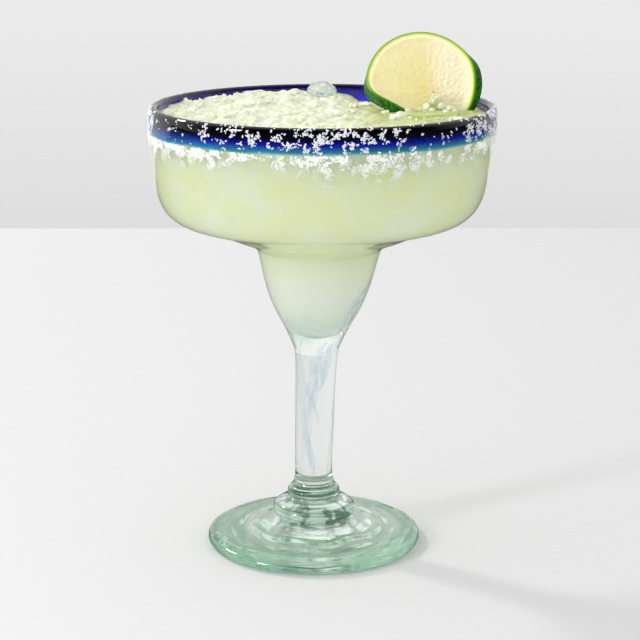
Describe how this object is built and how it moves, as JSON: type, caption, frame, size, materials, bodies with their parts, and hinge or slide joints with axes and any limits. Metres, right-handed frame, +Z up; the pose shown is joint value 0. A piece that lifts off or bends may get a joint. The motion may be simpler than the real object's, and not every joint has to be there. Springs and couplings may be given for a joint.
{
  "type": "frozen margarita",
  "caption": "Frozen lime drink in a stemmed hand-blown glass with a blue band, a salted rim, a clear lump of ice and a lime wheel standing in the slush.",
  "frame": {"origin": "on the surface that the foot stands on, under the middle of the bowl, which leans 3.4 mm to +X of the foot's middle", "axes": "+Z up; -Y towards the front, the side the picture shows; the lime wheel stands at +X"},
  "size_m": [0.1296, 0.1296, 0.1928],
  "materials": {
    "clear_glass": "gloss",
    "cobalt_glass": "gloss",
    "salt": "satin",
    "lime_slush": "satin",
    "lime_flesh": "satin",
    "lime_rind": "satin",
    "clear_ice": "gloss"
  },
  "bodies": {
    "root": {"glass": "clear_glass", "slush": "lime_slush", "lime_wheel": "lime_flesh", "ice_lump": "clear_ice"}
  },
  "joints": []
}
